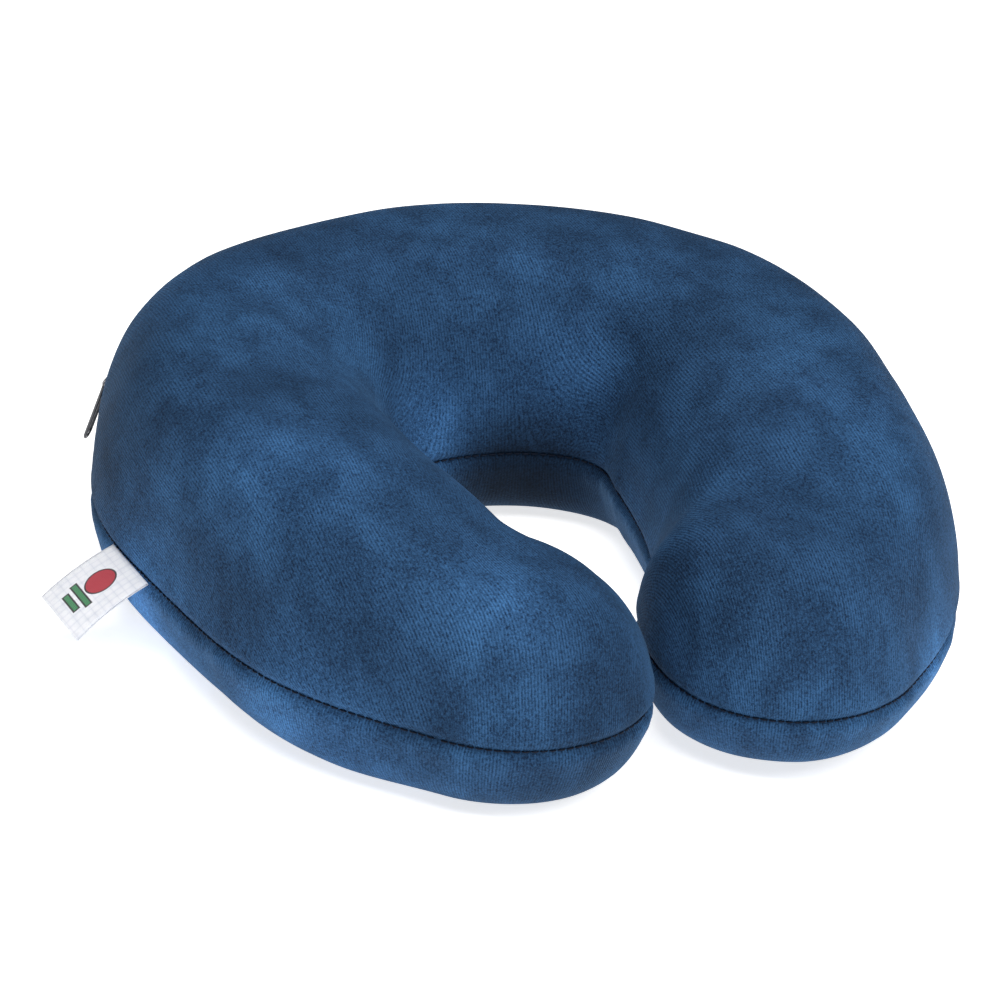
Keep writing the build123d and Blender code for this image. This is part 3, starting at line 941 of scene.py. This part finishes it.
def ribbon_material():
    """White satin ribbon with a fine grid weave, and a printed disc over two short bars."""
    n = Nodes("white_ribbon")
    ribbon = n.attribute("ribbon")
    x, y, face = n.split(ribbon)

    def grid_line(value):
        return n.math("POWER", n.math("ABSOLUTE", n.waves(value, 2 * PRINT_GRID)), 0.15)

    checks = n.times(grid_line(x), grid_line(y))
    cloudy = n.noise(ribbon, 0.2, 3.0)
    tone = n.add(n.times(checks, 0.5), n.times(cloudy, 0.5))
    printed = n.ramp(tone, [(0.35, (0.66, 0.69, 0.78, 1)), (0.75, (0.9, 0.91, 0.95, 1))])
    for shape, grown, colour in print_shapes(n, x, y):
        printed = n.mix(n.times(grown, face), printed, PRINT_OUTLINE_COLOUR)
        printed = n.mix(n.times(shape, face), printed, colour)
    n.set(Base_Color=printed, Roughness=0.55, Sheen_Weight=0.25)
    ridges = n.add(n.times(n.waves(x, 0.55), 0.5), n.add(n.waves(y, 0.7), n.times(checks, 0.8)))
    n.bump(ridges, 0.00006, 0.6)
    return n.material


def jersey_material():
    """Thin ribbed jersey of the liner."""
    n = Nodes("liner_jersey")
    cloth = n.attribute("fabric")
    cloudy = n.noise(cloth, 0.3, 3.0)
    shade = n.ramp(cloudy, [(0.3, (0.6, 0.6, 0.57, 1)), (0.7, (0.78, 0.78, 0.74, 1))])
    n.set(Base_Color=shade, Roughness=0.9)
    n.bump(n.waves(n.split(cloth)[0], 1.2), 0.0002, 0.6)
    return n.material


def foam_material():
    """Cream memory foam with small open cells."""
    n = Nodes("memory_foam")
    cells = n.node("ShaderNodeTexVoronoi")
    n.link(n.place(), cells.inputs["Vector"])
    cells.inputs["Scale"].default_value = 1400
    hollow = cells.outputs["Distance"]
    shade = n.ramp(hollow, [(0.1, (0.55, 0.5, 0.34, 1)), (0.6, (0.82, 0.78, 0.6, 1))])
    n.set(Base_Color=shade, Roughness=0.95)
    n.bump(hollow, 0.0003, 0.7)
    return n.material


# ---------------------------------------------------------------- stage
CAMERA_AZIMUTH = -20.22
CAMERA_ELEVATION = 24.75
CAMERA_DISTANCE = 1.3021
CAMERA_ROLL = 2.93
CAMERA_LENS = 135.576
CAMERA_SENSOR = 36
CAMERA_ASIDE = -0.013104
CAMERA_RAISED = 0.000726
AIM = Vector((0, -0.016, 0.04))

FLOOR_HALF = 6.0
FLOOR_GLOW = 0.73
WORLD_GLOW = 0.12
LIGHT_TARGET = Vector((0, 0, 0.04))


def make_camera():
    """Camera that looks at the pillow from its front left, and a little above."""
    azimuth = math.radians(CAMERA_AZIMUTH)
    elevation = math.radians(CAMERA_ELEVATION)
    level = math.cos(elevation)
    back = (math.sin(azimuth) * level, -math.cos(azimuth) * level, math.sin(elevation))
    back = Vector(back)
    right = Vector((math.cos(azimuth), math.sin(azimuth), 0))
    up = back.cross(right)
    roll = math.radians(CAMERA_ROLL)
    camera_right = right * math.cos(roll) + up * math.sin(roll)
    camera_up = up * math.cos(roll) - right * math.sin(roll)
    data = bpy.data.cameras.new("camera")
    data.sensor_width = CAMERA_SENSOR
    data.lens = CAMERA_LENS
    data.clip_start = 0.05
    data.clip_end = 20
    camera = bpy.data.objects.new("camera", data)
    bpy.context.scene.collection.objects.link(camera)
    place = AIM + back * CAMERA_DISTANCE
    place = place + camera_right * CAMERA_ASIDE + camera_up * CAMERA_RAISED
    turn = Matrix((camera_right, camera_up, back)).transposed().to_4x4()
    camera.matrix_world = Matrix.Translation(place) @ turn
    bpy.context.scene.camera = camera


def area_light(name, place, size, power):
    """Square light of the size in metres and the power in watts, aimed at the pillow."""
    data = bpy.data.lights.new(name, "AREA")
    data.shape = "RECTANGLE"
    data.size = data.size_y = size
    data.energy = power
    light = bpy.data.objects.new(name, data)
    bpy.context.scene.collection.objects.link(light)
    light.location = place
    aim = LIGHT_TARGET - Vector(place)
    light.rotation_euler = aim.to_track_quat("-Z", "Y").to_euler()


def make_stage():
    """Pale floor that glows a little, pale world, and two soft lights."""
    mesh = bpy.data.meshes.new("floor")
    signs = [(-1, -1), (1, -1), (1, 1), (-1, 1)]
    corners = [(x * FLOOR_HALF, y * FLOOR_HALF, 0) for x, y in signs]
    mesh.from_pydata(corners, [], [(0, 1, 2, 3)])
    floor = add_object("floor", mesh)
    n = Nodes("pale_floor")
    n.set(Base_Color=grey(0.9), Roughness=0.9, Specular_IOR_Level=0.1)
    n.set(Emission_Color=grey(1), Emission_Strength=FLOOR_GLOW)
    mesh.materials.append(n.material)
    world = bpy.data.worlds.new("studio")
    world.use_nodes = True
    background = world.node_tree.nodes["Background"]
    background.inputs["Color"].default_value = grey(1)
    background.inputs["Strength"].default_value = WORLD_GLOW
    bpy.context.scene.world = world
    bpy.context.scene.view_settings.view_transform = "Standard"
    area_light("key", (0.6, -0.9, 1.1), 0.8, 12)
    area_light("overhead", (-0.2, -0.35, 1.25), 0.9, 16)


# ---------------------------------------------------------------- pieces
def put(piece, material):
    piece.data.materials.clear()
    piece.data.materials.append(material)


def fit(piece, material, slot, node):
    """Finish a piece that is part of the pillow and stands for a CAD node."""
    put(piece, material)
    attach(piece, "pillow")
    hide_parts(node)


def build():
    make_camera()
    make_stage()
    outline = Outline()
    for name, node, upper, sheen in (
        ("cover_top", "cover_top_panel", True, 0.1),
        ("cover_bottom", "cover_bottom_panel", False, 0.26),
    ):
        piece = cover_panel(name, outline, upper)
        fit(piece, velour_material("navy_velour_" + name, sheen), "velour_cover", node)

    thread = thread_material("navy_thread", (0.0045, 0.01, 0.026, 1))
    fit(seam_stitches(outline), thread, "sewing_thread", "seam_thread")

    nylon = nylon_material()
    fit(zip_coil("coil_upper", 1), nylon, "zip_coil", "zip_coil_upper")
    fit(zip_coil("coil_lower", -1), nylon, "zip_coil", "zip_coil_lower")

    coarse = Outline(INNER_LINE_COLUMNS, INNER_TIP_COLUMNS)
    for name, node, inset, material, slot in (
        ("liner", "inner_liner", LINER_INSET, jersey_material(), "liner_jersey"),
        ("foam", "foam_core", FOAM_INSET, foam_material(), "memory_foam"),
    ):
        piece = inner_body(name, coarse, inset)
        fit(piece, material, slot, node)

    label = ribbon_label()
    fit(label, ribbon_material(), "label_ribbon", "ribbon_label")

    weave = tape_material()
    fit(zip_tape("tape_upper", 1), weave, "zip_tape", "zip_tape_upper")
    fit(zip_tape("tape_lower", -1), weave, "zip_tape", "zip_tape_lower")

    metal = metal_material()
    for node in ("zip_top_stops", "zip_bottom_stop", "zip_slider", "zip_pull"):
        put(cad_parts[node], metal)


build()
